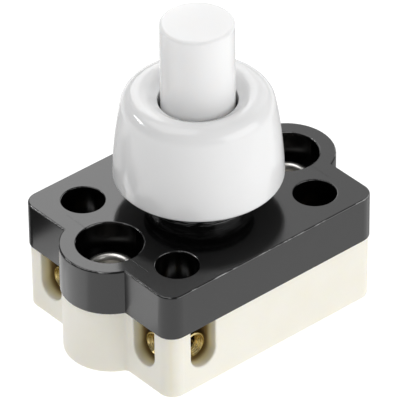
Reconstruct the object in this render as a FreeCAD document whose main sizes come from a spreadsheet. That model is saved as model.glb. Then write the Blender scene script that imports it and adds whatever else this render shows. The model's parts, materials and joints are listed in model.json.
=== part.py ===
import FreeCAD, Part

import enum
import math
import os

import Sketcher

# Push on, push off switch for a lamp body.
# X runs through the two end lobes, Y across the body and Z up the threaded neck.
# The origin is on the neck's axis, at the underside of the base.
# All lengths are in millimetres and all angles in degrees.

SIZES = {
    # Outline of the moulded body: a rectangle with a round lobe on each end
    "body_length": 24.8,
    "body_width": 20.7,
    "corner_radius": 1.6,
    "lobe_spacing": 21.1,
    "lobe_radius": 4.6,
    # Base and cover plate
    "base_height": 6.7,
    "base_inset": 0.15,
    "base_junction_radius": 0.5,
    "base_edge_round": 0.15,
    "plate_thickness": 4.6,
    "plate_edge_round": 0.18,
    "cavity_radius": 6.1,
    "spigot_depth": 0.6,
    "spigot_wall": 0.4,
    "spigot_clearance": 0.1,
    # Screwdriver holes over the terminals
    "driver_hole_inset_end": 4.19,
    "driver_hole_inset_side": 3.8,
    "driver_hole_radius": 2.0,
    "hole_edge_round": 0.12,
    # Rivet recesses in the lobes
    "recess_radius": 3.07,
    "recess_depth": 3.05,
    "rivet_bore_radius": 1.45,
    "rivet_wall": 0.3,
    "rivet_rim_radius": 2.36,
    "rivet_foot_radius": 2.5,
    "rivet_foot_thickness": 0.4,
    "rivet_foot_lift": 0.1,
    "rivet_hole_clearance": 0.1,
    "foot_recess_clearance": 0.3,
    # Threaded neck
    "thread_crest_radius": 4.95,
    "thread_pitch": 1.0,
    "thread_depth": 0.52,
    "thread_root_flat": 0.16,
    "thread_crest_flat": 0.14,
    "thread_runout": 0.35,
    "neck_height": 7.7,
    "neck_chamfer": 0.3,
    # Push button
    "button_radius": 3.38,
    "button_fit_clearance": 0.09,
    "button_standing_height": 19.0,
    "button_edge_round": 0.32,
    "button_travel": 2.6,
    "button_bore_radius": 2.1,
    "button_bore_rise": 8.0,
    "collar_radius": 4.4,
    "collar_thickness": 0.85,
    "collar_overlap": 0.1,
    "collar_chamber_clearance": 0.3,
    "chamber_roof_web": 0.8,
    "stop_gap": 0.05,
    "guide_key_width": 1.2,
    "guide_key_reach": 5.3,
    "guide_slot_clearance": 0.15,
    "guide_slot_end_clearance": 0.3,
    # Ratchet between the button and the rotor
    "ratchet_teeth": 4,
    "tooth_gap_angle": 2.0,
    "ramp_clearance": 0.1,
    "tooth_tip_clearance": 0.25,
    "tooth_wall": 0.8,
    "tooth_side_clearance": 0.2,
    # Rotor
    "rotor_radius": 5.6,
    "rotor_thickness": 1.65,
    "rotor_thrust_radius": 2.2,
    "rotor_thrust_gap": 0.05,
    "rotor_stub_radius": 1.2,
    "rotor_stub_length": 1.0,
    "rotor_stub_clearance": 0.07,
    "rotor_stub_end_clearance": 0.1,
    "peg_radius": 0.4,
    "peg_pitch_angle": 40.0,
    # Bridge plates carried under the rotor
    "bridge_thickness": 0.35,
    "bridge_inner_radius": 3.4,
    "bridge_outer_radius": 5.4,
    "bridge_span_angle": 64.0,
    "contact_gap": 0.05,
    # Fixed contact blades
    "blade_thickness": 0.35,
    "blade_width": 2.2,
    "blade_tip_radius": 4.8,
    "blade_tip_angle": 65.0,
    "blade_channel_clearance": 0.2,
    # Brass terminals
    "terminal_shift_long": 0.14,
    "terminal_shift_short": 0.05,
    # The floor and the barrels' axis stand at these shares of the base's height
    "floor_height_share": 0.3,
    "terminal_axis_share": 0.545,
    "barrel_edge_round": 0.08,
    "barrel_inset": 1.35,
    "barrel_slot_clearance": 0.15,
    "slot_axis_drop": 0.08,
    "slot_mouth_round": 0.15,
    "funnel_rim": 0.17,
    "funnel_depth": 0.7,
    "wire_hole_radius": 0.68,
    "wire_hole_overrun": 0.9,
    "column_radius": 1.5,
    "column_drop": 1.0,
    "column_well_clearance": 0.1,
    "spigot_pin_radius": 0.85,
    # Terminal screws
    "screw_hole_radius": 1.0,
    "screw_thread_clearance": 0.05,
    "screw_tip_gap": 0.27,
    "screw_head_radius": 1.42,
    "screw_head_height": 0.9,
    "screw_head_gap": 0.05,
    "screw_slot_width": 0.4,
    "screw_slot_depth": 0.4,
    "screw_head_round": 0.2,
    # Return spring
    "spring_radius": 1.6,
    "spring_wire_radius": 0.2,
    "spring_turns": 10,
    # Ring nut
    "nut_lift": 2.65,
    "nut_foot_radius": 7.8,
    "nut_foot_round": 0.35,
    "nut_shoulder_radius": 6.5,
    "nut_shoulder_rise": 10.05,
    "nut_side_bulge": 0.28,
    "nut_crown_round": 1.65,
    "nut_hole_radius": 3.65,
    "nut_hole_rise": 8.15,
    "nut_hole_edge_round": 0.12,
    "nut_ledge_rise": 7.0,
    "nut_thread_clearance": 0.08,
}

TWO_SIDES = 2.0
HALF = 0.5
EIGHT = 8.0
CUT_OVERRUN = 1.0
HALF_TURN = 180
FULL_TURN = 360
ORIGIN = (-1, 1)
UPRIGHT_AXIS = -2
LEVEL_AXIS = -1
PITCH_AND_HEIGHT = 0
NEAR = 0.02
UP = FreeCAD.Vector(0, 0, 1)


class Point(enum.IntEnum):
    """The points of a sketch item that a constraint can hold."""

    START = enum.auto()
    END = enum.auto()
    CENTRE = enum.auto()


class Size:
    """A dimension that holds its number and the sheet formula that gives it."""

    def __init__(self, number, formula):
        self.number = number
        self.formula = formula

    def __add__(self, other):
        other = as_size(other)
        return Size(self.number + other.number, f"({self.formula} + {other.formula})")

    def __sub__(self, other):
        other = as_size(other)
        return Size(self.number - other.number, f"({self.formula} - {other.formula})")

    def __mul__(self, other):
        other = as_size(other)
        return Size(self.number * other.number, f"({self.formula} * {other.formula})")

    def __truediv__(self, other):
        other = as_size(other)
        return Size(self.number / other.number, f"({self.formula} / {other.formula})")

    def __neg__(self):
        return Size(-self.number, f"(0 - {self.formula})")


def as_size(value):
    """A plain number as a Size, and a Size as it is."""
    if isinstance(value, Size):
        return value
    return Size(value, f"({value})")


def root(value):
    """Square root of a Size."""
    return Size(math.sqrt(value.number), f"sqrt({value.formula})")


def sine(angle):
    """Sine of a Size in degrees."""
    return Size(math.sin(math.radians(angle.number)), f"sin({angle.formula} * 1 deg)")


def cosine(angle):
    """Cosine of a Size in degrees."""
    return Size(math.cos(math.radians(angle.number)), f"cos({angle.formula} * 1 deg)")


class SizeNames:
    """The driving sizes, each under its own name."""

    def __init__(self, table):
        for name, number in table.items():
            setattr(self, name, Size(number, f"Sizes.{name}"))


def write_sheet(document, table):
    """Write each driving size into the sheet, with its name as the alias."""
    sheet = document.addObject("Spreadsheet::Sheet", "Sizes")
    for row, (name, number) in enumerate(table.items(), start=1):
        sheet.set(f"A{row}", name)
        sheet.set(f"B{row}", str(number))
        sheet.setAlias(f"B{row}", name)
    document.recompute()
    return sheet


document = FreeCAD.newDocument("lamp_switch")
write_sheet(document, SIZES)
size = SizeNames(SIZES)

# Heights up the stack, from the underside of the base
floor_top = size.base_height * size.floor_height_share
blade_top = floor_top + size.blade_thickness
terminal_axis = size.base_height * size.terminal_axis_share
bridge_bottom = blade_top + size.contact_gap
rotor_bottom = bridge_bottom + size.bridge_thickness
rotor_top = rotor_bottom + size.rotor_thickness
column_top = size.base_height - size.column_drop
plate_top = size.base_height + size.plate_thickness
neck_top = plate_top + size.neck_height
button_top = plate_top + size.button_standing_height
chamber_roof = plate_top - size.chamber_roof_web
collar_top = chamber_roof - size.stop_gap
collar_bottom = collar_top - size.collar_thickness
# The button's teeth just clear the rotor's disc when the button is fully down
button_ramp_foot = rotor_top + size.tooth_tip_clearance + size.button_travel
rotor_ramp_foot = button_ramp_foot - size.ramp_clearance
rotor_tooth_top = rotor_ramp_foot + size.button_travel
button_tooth_root = rotor_tooth_top + size.button_travel + size.ramp_clearance
spring_top = plate_top + size.button_bore_rise
recess_floor = plate_top - size.recess_depth
nut_foot = plate_top + size.nut_lift
nut_ledge = nut_foot + size.nut_ledge_rise

# Places across the body
half_length = size.body_length * HALF
half_width = size.body_width * HALF
lobe_place = size.lobe_spacing * HALF
driver_hole_x = half_length - size.driver_hole_inset_end
driver_hole_y = half_width - size.driver_hole_inset_side
terminal_x = driver_hole_x + size.terminal_shift_long
terminal_y = driver_hole_y - size.terminal_shift_short
base_half_length = half_length - size.base_inset
base_half_width = half_width - size.base_inset
base_lobe_radius = size.lobe_radius - size.base_inset
neck_bore_radius = size.button_radius + size.button_fit_clearance
chamber_radius = size.collar_radius + size.collar_chamber_clearance
rivet_shank_radius = size.rivet_bore_radius + size.rivet_wall
rivet_hole_radius = rivet_shank_radius + size.rivet_hole_clearance
barrel_radius = terminal_axis - blade_top
slot_radius = barrel_radius + size.barrel_slot_clearance
slot_axis = terminal_axis - size.slot_axis_drop
end_barrel_reach = base_half_length - size.barrel_inset - terminal_x
side_barrel_reach = base_half_width - size.barrel_inset - terminal_y
well_radius = size.column_radius + size.column_well_clearance
half_step = Size(HALF_TURN, "180") / size.ratchet_teeth
ramp_pitch = size.button_travel * size.ratchet_teeth * TWO_SIDES
tooth_inner_radius = size.button_radius - size.tooth_side_clearance - size.tooth_wall
tooth_outer_radius = size.button_radius - size.tooth_side_clearance
blade_tip_x = size.blade_tip_radius * cosine(size.blade_tip_angle)
blade_tip_y = size.blade_tip_radius * sine(size.blade_tip_angle)


def bind(thing, name, value):
    """Tie a property of an object to the formula of a Size."""
    thing.setExpression(name, as_size(value).formula)


def new_body(name):
    """An empty body whose label is the node's name."""
    body = document.addObject("PartDesign::Body", name)
    body.Label = name
    return body


def new_sketch(body, name, plane="XY_Plane", offset=0):
    """A sketch on one of the body's origin planes, moved along the plane's normal."""
    sketch = body.newObject("Sketcher::SketchObject", f"{body.Name}_{name}")
    support = next(item for item in body.Origin.OriginFeatures if item.Role == plane)
    sketch.AttachmentSupport = [(support, "")]
    sketch.MapMode = "FlatFace"
    bind(sketch, "AttachmentOffset.Base.z", offset)
    return sketch


def constrain(sketch, constraint, value):
    """Add a constraint whose value follows a Size."""
    number = sketch.addConstraint(constraint)
    sketch.setExpression(f"Constraints[{number}]", value.formula)


def fix_point(sketch, item, point, x, y):
    """Hold a point at x, y from the sketch's origin."""
    x = as_size(x)
    y = as_size(y)
    if x.number == 0:
        sketch.addConstraint(Sketcher.Constraint("PointOnObject", item, point, UPRIGHT_AXIS))
    else:
        constrain(sketch, Sketcher.Constraint("DistanceX", *ORIGIN, item, point, x.number), x)
    if y.number == 0:
        sketch.addConstraint(Sketcher.Constraint("PointOnObject", item, point, LEVEL_AXIS))
    else:
        constrain(sketch, Sketcher.Constraint("DistanceY", *ORIGIN, item, point, y.number), y)


def draw_circle(sketch, radius, x=0, y=0):
    """A circle of the given radius about x, y."""
    centre = FreeCAD.Vector(as_size(x).number, as_size(y).number, 0)
    item = sketch.addGeometry(Part.Circle(centre, UP, radius.number))
    constrain(sketch, Sketcher.Constraint("Radius", item, radius.number), radius)
    fix_point(sketch, item, Point.CENTRE, x, y)


def sagitta_point(first, last, bulge):
    """The middle of an arc that stands bulge to the right of the way from first to last."""
    way = last - first
    side = FreeCAD.Vector(way.y, -way.x, 0)
    side.normalize()
    return (first + last) * HALF + side * bulge


def draw_outline(sketch, corners, bulges=None):
    """A closed outline through corners, with arcs where bulges names a side by its index."""
    bulges = bulges or {}
    corners = [(as_size(x), as_size(y)) for x, y in corners]
    points = [FreeCAD.Vector(x.number, y.number, 0) for x, y in corners]
    count = len(points)
    ends = []
    for index in range(count):
        first = points[index]
        last = points[(index + 1) % count]
        if index in bulges:
            middle = sagitta_point(first, last, bulges[index].number)
            item = sketch.addGeometry(Part.Arc(first, middle, last))
            turned = sketch.getPoint(item, Point.START).distanceToPoint(first) > NEAR
            ends.append((item, Point.END, Point.START) if turned else (item, Point.START, Point.END))
        else:
            item = sketch.addGeometry(Part.LineSegment(first, last))
            ends.append((item, Point.START, Point.END))
    for index, (item, begin, finish) in enumerate(ends):
        following, following_begin, unused_end = ends[(index + 1) % count]
        sketch.addConstraint(Sketcher.Constraint("Coincident", item, finish, following, following_begin))
        fix_point(sketch, item, begin, *corners[index])
    for index, bulge in bulges.items():
        hold_arc_centre(sketch, ends[index][0], corners[index], corners[(index + 1) % count], bulge)


def hold_arc_centre(sketch, item, first, last, bulge):
    """Hold the centre of an arc so that the arc stands bulge away from its chord."""
    chord_x = last[0] - first[0]
    chord_y = last[1] - first[1]
    chord_square = chord_x * chord_x + chord_y * chord_y
    radius = chord_square / (bulge * EIGHT) + bulge * HALF
    share = (radius - bulge) / root(chord_square)
    if abs(chord_y.number) > abs(chord_x.number):
        centre = (first[0] + last[0]) * HALF - chord_y * share
        kind = "DistanceX"
    else:
        centre = (first[1] + last[1]) * HALF + chord_x * share
        kind = "DistanceY"
    constrain(sketch, Sketcher.Constraint(kind, *ORIGIN, item, Point.CENTRE, centre.number), centre)


def draw_rectangle(sketch, half_x, half_y, x=0, y=0):
    """A rectangle about x, y."""
    x = as_size(x)
    y = as_size(y)
    corners = [(x - half_x, y - half_y), (x + half_x, y - half_y)]
    corners += [(x + half_x, y + half_y), (x - half_x, y + half_y)]
    draw_outline(sketch, corners)


def draw_bar(sketch, start, end, width):
    """A straight bar of the given width between two points."""
    way_x = end[0] - start[0]
    way_y = end[1] - start[1]
    length = root(way_x * way_x + way_y * way_y)
    side_x = way_y / length * width * HALF
    side_y = -way_x / length * width * HALF
    corners = [(start[0] + side_x, start[1] + side_y), (end[0] + side_x, end[1] + side_y)]
    corners += [(end[0] - side_x, end[1] - side_y), (start[0] - side_x, start[1] - side_y)]
    draw_outline(sketch, corners)


def draw_sector(sketch, inner, outer, start_angle, end_angle):
    """A sector of a ring about the origin, between two angles."""
    start = math.radians(start_angle.number)
    end = math.radians(end_angle.number)
    arcs = []
    for radius in (inner, outer):
        circle = Part.Circle(FreeCAD.Vector(0, 0, 0), UP, radius.number)
        arc = sketch.addGeometry(Part.ArcOfCircle(circle, start, end))
        sketch.addConstraint(Sketcher.Constraint("Coincident", arc, Point.CENTRE, *ORIGIN))
        constrain(sketch, Sketcher.Constraint("Radius", arc, radius.number), radius)
        arcs.append(arc)
    for point, angle in ((Point.START, start_angle), (Point.END, end_angle)):
        near = sketch.getPoint(arcs[0], point)
        far = sketch.getPoint(arcs[1], point)
        line = sketch.addGeometry(Part.LineSegment(near, far))
        sketch.addConstraint(Sketcher.Constraint("Coincident", line, Point.START, arcs[0], point))
        sketch.addConstraint(Sketcher.Constraint("Coincident", line, Point.END, arcs[1], point))
        turn = math.radians(angle.number)
        number = sketch.addConstraint(Sketcher.Constraint("Angle", line, turn))
        sketch.setExpression(f"Constraints[{number}]", f"{angle.formula} * 1 deg")


def pad(body, sketch, length, downward=False):
    """Add material over a sketch."""
    feature = body.newObject("PartDesign::Pad", f"{sketch.Name}_pad")
    feature.Profile = sketch
    feature.Reversed = downward
    bind(feature, "Length", length)
    sketch.Visibility = False
    return feature


def pocket(body, sketch, length=None, upward=False):
    """Cut a sketch out of the body, against the sketch's normal unless upward is set."""
    feature = body.newObject("PartDesign::Pocket", f"{sketch.Name}_pocket")
    feature.Profile = sketch
    feature.Reversed = upward
    if length is None:
        feature.Type = "ThroughAll"
    else:
        bind(feature, "Length", length)
    return feature


def revolve(body, sketch):
    """Turn a sketch on the XZ plane once round the upright axis."""
    feature = body.newObject("PartDesign::Revolution", f"{sketch.Name}_turned")
    feature.Profile = sketch
    feature.ReferenceAxis = (sketch, ["V_Axis"])
    feature.Angle = FULL_TURN
    return feature


def helix(body, sketch, kind, pitch, height):
    """Sweep a sketch on the XZ plane up a helix about the upright axis."""
    feature = body.newObject(f"PartDesign::{kind}", f"{sketch.Name}_helix")
    feature.Profile = sketch
    feature.ReferenceAxis = (sketch, ["V_Axis"])
    feature.Mode = PITCH_AND_HEIGHT
    bind(feature, "Pitch", pitch)
    bind(feature, "Height", height)
    return feature


def around(body, features, axis_sketch, count):
    """Repeat features in even steps about the upright axis."""
    pattern = body.newObject("PartDesign::PolarPattern", f"{features[0].Name}_round")
    pattern.Originals = features
    pattern.Axis = (axis_sketch, ["N_Axis"])
    pattern.Angle = FULL_TURN
    if isinstance(count, Size):
        bind(pattern, "Occurrences", count)
    else:
        pattern.Occurrences = count
    body.Tip = pattern
    return pattern


def round_edges(body, name, radius, chosen, kind="Fillet"):
    """Round or chamfer the edges of the body's last feature that pass a test."""
    document.recompute()
    last = body.Tip
    names = []
    for index, edge in enumerate(last.Shape.Edges, start=1):
        if chosen(edge):
            names.append(f"Edge{index}")
    feature = body.newObject(f"PartDesign::{kind}", f"{body.Name}_{name}")
    feature.Base = (last, names)
    bind(feature, "Radius" if kind == "Fillet" else "Size", radius)
    return feature


def at_height(edge, height):
    """True where the whole edge lies at a height."""
    box = edge.BoundBox
    return abs(box.ZMin - height.number) < NEAR and abs(box.ZMax - height.number) < NEAR


def is_upright(edge):
    """True for a straight edge along Z."""
    box = edge.BoundBox
    return box.XLength < NEAR and box.YLength < NEAR and box.ZLength > NEAR


def is_full_circle(edge, radius):
    """True for a closed level circle of the given radius."""
    if not isinstance(edge.Curve, Part.Circle):
        return False
    return edge.isClosed() and abs(edge.Curve.Radius - radius.number) < NEAR


def is_corner(edge, half_x, half_y):
    """True for an upright edge at one of the four corners of a rectangle."""
    if not is_upright(edge):
        return False
    point = edge.Vertexes[0].Point
    return abs(abs(point.x) - half_x.number) < NEAR and abs(abs(point.y) - half_y.number) < NEAR


def is_lobe_junction(edge, half_x, radius):
    """True for an upright edge where a lobe leaves the body's end face."""
    if not is_upright(edge):
        return False
    point = edge.Vertexes[0].Point
    reach = math.hypot(abs(point.x) - lobe_place.number, point.y)
    return abs(abs(point.x) - half_x.number) < NEAR and abs(reach - radius.number) < NEAR


def body_outline(body, half_x, half_y, corner, lobe, bottom, height):
    """The rectangle with round corners and its two lobes, standing on a height."""
    block = new_sketch(body, "block", offset=bottom)
    draw_rectangle(block, half_x, half_y)
    pad(body, block, height)
    round_edges(body, "corners", corner, lambda edge: is_corner(edge, half_x, half_y))
    lobes = new_sketch(body, "lobes", offset=bottom)
    for side in (-1, 1):
        draw_circle(lobes, lobe, lobe_place * side)
    return pad(body, lobes, height)


def four_corners():
    """Signs of x and y at the four terminals."""
    return [(-1, -1), (-1, 1), (1, -1), (1, 1)]


def place(body, x=0, y=0, z=0, turn=0):
    """Put a finished body at its place, turned about the upright axis."""
    body.Placement = FreeCAD.Placement(FreeCAD.Vector(0, 0, 0), FreeCAD.Rotation(UP, turn))
    for name, value in (("x", x), ("y", y), ("z", z)):
        bind(body, f"Placement.Base.{name}", value)


def make_base_housing():
    """Cream base with wells for the terminals, wire slots and the rotor's cavity."""
    body = new_body("base_housing")
    corner = size.corner_radius - size.base_inset
    body_outline(body, base_half_length, base_half_width, corner, base_lobe_radius, 0, size.base_height)
    round_edges(
        body,
        "junctions",
        size.base_junction_radius,
        lambda edge: is_lobe_junction(edge, base_half_length, base_lobe_radius),
    )
    round_edges(body, "foot_edge", size.base_edge_round, lambda edge: at_height(edge, as_size(0)))
    depth = size.base_height - floor_top

    cavity = new_sketch(body, "cavity", offset=size.base_height)
    draw_circle(cavity, size.cavity_radius)
    pocket(body, cavity, depth)

    bearing = new_sketch(body, "bearing", offset=floor_top)
    draw_circle(bearing, size.rotor_stub_radius + size.rotor_stub_clearance)
    bearing_depth = size.rotor_stub_length + size.rotor_stub_end_clearance - size.rotor_thrust_gap
    pocket(body, bearing, bearing_depth)

    wells = new_sketch(body, "wells", offset=size.base_height)
    channels = new_sketch(body, "channels", offset=size.base_height)
    for side_x, side_y in four_corners():
        draw_circle(wells, well_radius, terminal_x * side_x, terminal_y * side_y)
        start = (terminal_x * side_x, terminal_y * side_y)
        end = (blade_tip_x * side_x, blade_tip_y * side_y)
        draw_bar(channels, start, end, size.blade_width + size.blade_channel_clearance * TWO_SIDES)
    pocket(body, wells, depth)
    pocket(body, channels, depth)

    # Wire slots: two through the left end and one through the front, repeated half a turn on
    slots = []
    end_slots = new_sketch(body, "end_slots", "YZ_Plane", -terminal_x)
    for side_y in (-1, 1):
        draw_wire_slot(end_slots, terminal_y * side_y)
    slots.append(pocket(body, end_slots, half_length - terminal_x + CUT_OVERRUN))
    front_slot = new_sketch(body, "front_slot", "XZ_Plane", terminal_y)
    draw_wire_slot(front_slot, -terminal_x)
    slots.append(pocket(body, front_slot, half_width - terminal_y + CUT_OVERRUN, upward=True))
    around(body, slots, cavity, 2)
    round_edges(body, "slot_mouths", size.slot_mouth_round, is_slot_mouth)

    rivet_holes = new_sketch(body, "rivet_holes", offset=size.base_height)
    foot_recesses = new_sketch(body, "foot_recesses")
    for side in (-1, 1):
        draw_circle(rivet_holes, rivet_hole_radius, lobe_place * side)
        foot_radius = size.rivet_foot_radius + size.foot_recess_clearance
        draw_circle(foot_recesses, foot_radius, lobe_place * side)
    pocket(body, rivet_holes)
    recess_depth = size.rivet_foot_lift + size.rivet_foot_thickness
    pocket(body, foot_recesses, recess_depth, upward=True)
    return body


def draw_wire_slot(sketch, across):
    """A slot with a round bottom, open at the top, around a terminal's barrel."""
    top = size.base_height + CUT_OVERRUN
    across = as_size(across)
    corners = [(across - slot_radius, top), (across - slot_radius, slot_axis)]
    corners += [(across + slot_radius, slot_axis), (across + slot_radius, top)]
    draw_outline(sketch, corners, {1: slot_radius})


def is_slot_mouth(edge):
    """True for the edges of the wire slots on the base's outer faces."""
    box = edge.BoundBox
    on_end = abs(abs(box.Center.x) - base_half_length.number) < NEAR and box.XLength < NEAR
    on_side = abs(abs(box.Center.y) - base_half_width.number) < NEAR and box.YLength < NEAR
    if on_end:
        away = abs(abs(box.Center.y) - terminal_y.number)
    elif on_side:
        away = abs(abs(box.Center.x) - terminal_x.number)
    else:
        return False
    return away < slot_radius.number + NEAR and box.ZMin > size.base_edge_round.number


def make_cover_plate():
    """Black cover plate with the threaded neck, recesses, holes and button chamber."""
    body = new_body("cover_plate")
    body_outline(
        body,
        half_length,
        half_width,
        size.corner_radius,
        size.lobe_radius,
        size.base_height,
        size.plate_thickness,
    )
    round_edges(body, "plate_edge", size.plate_edge_round, lambda edge: at_height(edge, plate_top))

    neck = new_sketch(body, "neck", offset=plate_top)
    draw_circle(neck, size.thread_crest_radius)
    pad(body, neck, size.neck_height)
    round_edges(body, "neck_rim", size.neck_chamfer, lambda edge: at_height(edge, neck_top), "Chamfer")

    spigot = new_sketch(body, "spigot", offset=size.base_height)
    spigot_radius = size.cavity_radius - size.spigot_clearance
    draw_circle(spigot, spigot_radius)
    draw_circle(spigot, spigot_radius - size.spigot_wall)
    pad(body, spigot, size.spigot_depth, downward=True)

    bore = new_sketch(body, "neck_bore", offset=neck_top)
    draw_circle(bore, neck_bore_radius)
    pocket(body, bore)

    chamber_depth = chamber_roof - size.base_height
    chamber = new_sketch(body, "chamber", offset=size.base_height)
    draw_circle(chamber, chamber_radius)
    pocket(body, chamber, chamber_depth, upward=True)
    guides = new_sketch(body, "guides", offset=size.base_height)
    guide_half_width = size.guide_key_width * HALF + size.guide_slot_clearance
    draw_rectangle(guides, size.guide_key_reach + size.guide_slot_end_clearance, guide_half_width)
    pocket(body, guides, chamber_depth, upward=True)

    recesses = new_sketch(body, "recesses", offset=plate_top)
    rivet_holes = new_sketch(body, "rivet_holes", offset=plate_top)
    for side in (-1, 1):
        draw_circle(recesses, size.recess_radius, lobe_place * side)
        draw_circle(rivet_holes, rivet_hole_radius, lobe_place * side)
    pocket(body, recesses, size.recess_depth)
    pocket(body, rivet_holes)
    driver_holes = new_sketch(body, "driver_holes", offset=plate_top)
    for side_x, side_y in four_corners():
        draw_circle(driver_holes, size.driver_hole_radius, driver_hole_x * side_x, driver_hole_y * side_y)
    pocket(body, driver_holes)
    round_edges(body, "hole_rims", size.hole_edge_round, is_hole_rim)

    thread = new_sketch(body, "thread", "XZ_Plane")
    start = plate_top + size.thread_runout
    outside = size.thread_crest_radius + size.thread_depth * HALF
    root_radius = size.thread_crest_radius - size.thread_depth
    half_root = size.thread_root_flat * HALF
    half_mouth = (size.thread_pitch - size.thread_crest_flat) * HALF
    slope = (half_mouth - half_root) / size.thread_depth
    half_outside = half_mouth + slope * (outside - size.thread_crest_radius)
    middle = start + half_outside
    corners = [(root_radius, middle - half_root), (outside, middle - half_outside)]
    corners += [(outside, middle + half_outside), (root_radius, middle + half_root)]
    draw_outline(thread, corners)
    helix(body, thread, "SubtractiveHelix", size.thread_pitch, size.neck_height)
    return body


def is_hole_rim(edge):
    """True for the rims of the recesses and driver holes on the plate's top."""
    if not at_height(edge, plate_top):
        return False
    return is_full_circle(edge, size.recess_radius) or is_full_circle(edge, size.driver_hole_radius)


def make_ring_nut():
    """White ring nut: bulged side, round crown and a dish that falls to the button's hole."""
    body = new_body("ring_nut")
    profile = new_sketch(body, "profile", "XZ_Plane")
    bore_radius = size.thread_crest_radius + size.nut_thread_clearance
    hole_height = nut_foot + size.nut_hole_rise
    shoulder_height = nut_foot + size.nut_shoulder_rise
    corners = [(bore_radius, nut_foot), (size.nut_foot_radius, nut_foot)]
    corners += [(size.nut_shoulder_radius, shoulder_height), (size.nut_hole_radius, hole_height)]
    corners += [(size.nut_hole_radius, nut_ledge), (bore_radius, nut_ledge)]
    draw_outline(profile, corners, {1: size.nut_side_bulge})
    revolve(body, profile)
    round_edges(
        body,
        "crown",
        size.nut_crown_round,
        lambda edge: at_height(edge, shoulder_height) and is_full_circle(edge, size.nut_shoulder_radius),
    )
    round_edges(
        body,
        "foot_rim",
        size.nut_foot_round,
        lambda edge: at_height(edge, nut_foot) and is_full_circle(edge, size.nut_foot_radius),
    )
    round_edges(
        body,
        "hole_rim",
        size.nut_hole_edge_round,
        lambda edge: at_height(edge, hole_height) and is_full_circle(edge, size.nut_hole_radius),
    )
    return body


def tooth_angles():
    """Start and end angle of a ratchet tooth, inside its half step."""
    start = size.tooth_gap_angle * HALF
    return start, half_step - start


def make_push_button():
    """White push button: tube with ramped teeth, a stop collar and two guide keys."""
    body = new_body("push_button")
    stem = new_sketch(body, "stem", offset=button_tooth_root)
    draw_circle(stem, size.button_radius)
    pad(body, stem, button_top - button_tooth_root)
    round_edges(body, "top_edge", size.button_edge_round, lambda edge: at_height(edge, button_top))
    bore = new_sketch(body, "spring_bore", offset=button_tooth_root)
    draw_circle(bore, size.button_bore_radius)
    pocket(body, bore, spring_top - button_tooth_root, upward=True)

    tooth = new_sketch(body, "tooth", offset=button_ramp_foot)
    start, end = tooth_angles()
    draw_sector(tooth, size.button_bore_radius, size.button_radius, start, end)
    tooth_pad = pad(body, tooth, button_tooth_root - button_ramp_foot)
    ramp = new_sketch(body, "ramp", "XZ_Plane")
    inner = size.button_bore_radius - size.tooth_side_clearance
    outer = size.button_radius + size.tooth_side_clearance
    low = button_ramp_foot - size.button_travel
    draw_outline(ramp, [(inner, low), (outer, low), (outer, button_ramp_foot), (inner, button_ramp_foot)])
    ramp_cut = helix(body, ramp, "SubtractiveHelix", ramp_pitch, size.button_travel)
    around(body, [tooth_pad, ramp_cut], stem, size.ratchet_teeth)

    collar = new_sketch(body, "collar", offset=collar_bottom)
    draw_circle(collar, size.collar_radius)
    draw_circle(collar, size.button_radius - size.collar_overlap)
    pad(body, collar, size.collar_thickness)
    keys = new_sketch(body, "keys", offset=collar_bottom)
    key_inner = size.collar_radius - size.collar_overlap
    key_half = (size.guide_key_reach - key_inner) * HALF
    for side in (-1, 1):
        draw_rectangle(keys, key_half, size.guide_key_width * HALF, (key_inner + key_half) * side)
    pad(body, keys, size.collar_thickness)
    return body


def make_ratchet_rotor():
    """Rotor: disc with ramped teeth above, and a thrust ring, stub and pegs below."""
    body = new_body("ratchet_rotor")
    disc = new_sketch(body, "disc", offset=rotor_bottom)
    draw_circle(disc, size.rotor_radius)
    pad(body, disc, size.rotor_thickness)
    thrust = new_sketch(body, "thrust", offset=rotor_bottom)
    draw_circle(thrust, size.rotor_thrust_radius)
    thrust_length = rotor_bottom - floor_top - size.rotor_thrust_gap
    pad(body, thrust, thrust_length, downward=True)
    stub = new_sketch(body, "stub", offset=floor_top + size.rotor_thrust_gap)
    draw_circle(stub, size.rotor_stub_radius)
    pad(body, stub, size.rotor_stub_length, downward=True)
    pegs = new_sketch(body, "pegs", offset=rotor_bottom)
    for x, y in peg_places():
        for side in (-1, 1):
            draw_circle(pegs, size.peg_radius, x, y * side)
    pad(body, pegs, size.bridge_thickness, downward=True)

    tooth = new_sketch(body, "tooth", offset=rotor_top)
    start, end = tooth_angles()
    draw_sector(tooth, tooth_inner_radius, tooth_outer_radius, start, end)
    tooth_pad = pad(body, tooth, rotor_tooth_top - rotor_top)
    ramp = new_sketch(body, "ramp", "XZ_Plane")
    inner = tooth_inner_radius - size.tooth_side_clearance
    outer = tooth_outer_radius + size.tooth_side_clearance
    high = rotor_tooth_top + size.button_travel
    draw_outline(ramp, [(inner, rotor_ramp_foot), (outer, rotor_ramp_foot), (outer, high), (inner, high)])
    ramp_cut = helix(body, ramp, "SubtractiveHelix", ramp_pitch, size.button_travel)
    around(body, [tooth_pad, ramp_cut], disc, size.ratchet_teeth)
    return body


def peg_places():
    """Places of the two pegs that hold the back bridge plate."""
    radius = (size.bridge_inner_radius + size.bridge_outer_radius) * HALF
    lean = size.peg_pitch_angle * HALF
    return [(radius * sine(lean), radius * cosine(lean)), (-radius * sine(lean), radius * cosine(lean))]


def make_bridge_plate(name, turn):
    """Brass bridge plate, a sector of a ring with two peg holes, under the rotor."""
    body = new_body(name)
    quarter = Size(90, "90")
    sector = new_sketch(body, "sector", offset=bridge_bottom)
    half_span = size.bridge_span_angle * HALF
    start = quarter - half_span
    draw_sector(sector, size.bridge_inner_radius, size.bridge_outer_radius, start, quarter + half_span)
    pad(body, sector, size.bridge_thickness)
    holes = new_sketch(body, "peg_holes", offset=rotor_bottom)
    for x, y in peg_places():
        draw_circle(holes, size.peg_radius, x, y)
    pocket(body, holes)
    place(body, turn=turn)
    return body


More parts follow.
